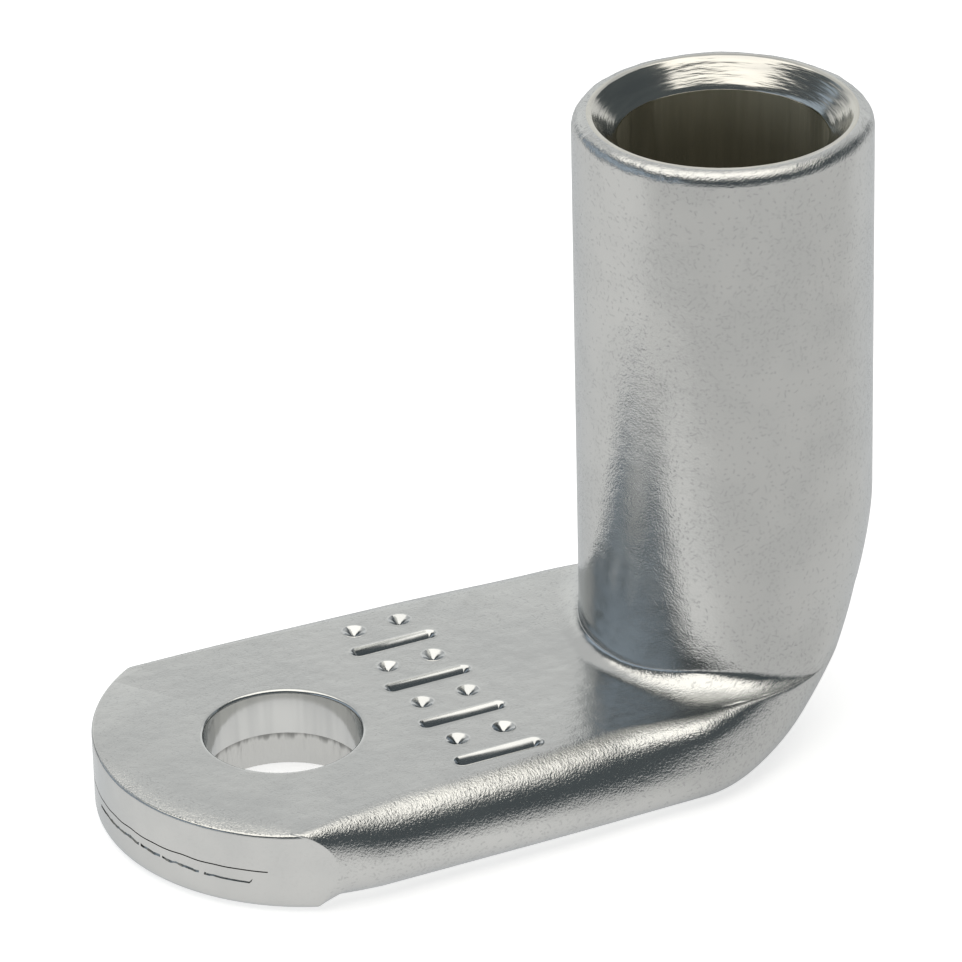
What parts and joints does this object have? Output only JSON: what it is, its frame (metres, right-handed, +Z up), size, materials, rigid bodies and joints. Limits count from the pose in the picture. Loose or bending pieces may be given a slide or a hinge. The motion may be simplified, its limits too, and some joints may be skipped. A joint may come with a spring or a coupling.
{
  "type": "right-angled tubular cable lug",
  "caption": "Right-angled tubular cable lug: a round crimp barrel with a countersunk mouth, bent up from a flattened palm with a stud hole, plated satin grey.",
  "frame": {"origin": "centre of the stud hole on the contact face under the palm", "axes": "+X from the stud hole towards the barrel, +Y across the palm, +Z up along the barrel"},
  "size_m": [0.0278, 0.0142, 0.022],
  "materials": {
    "plated_copper": "satin tin plating over copper, tumbled"
  },
  "bodies": {
    "root": {"cable_lug": "plated_copper"}
  },
  "joints": []
}
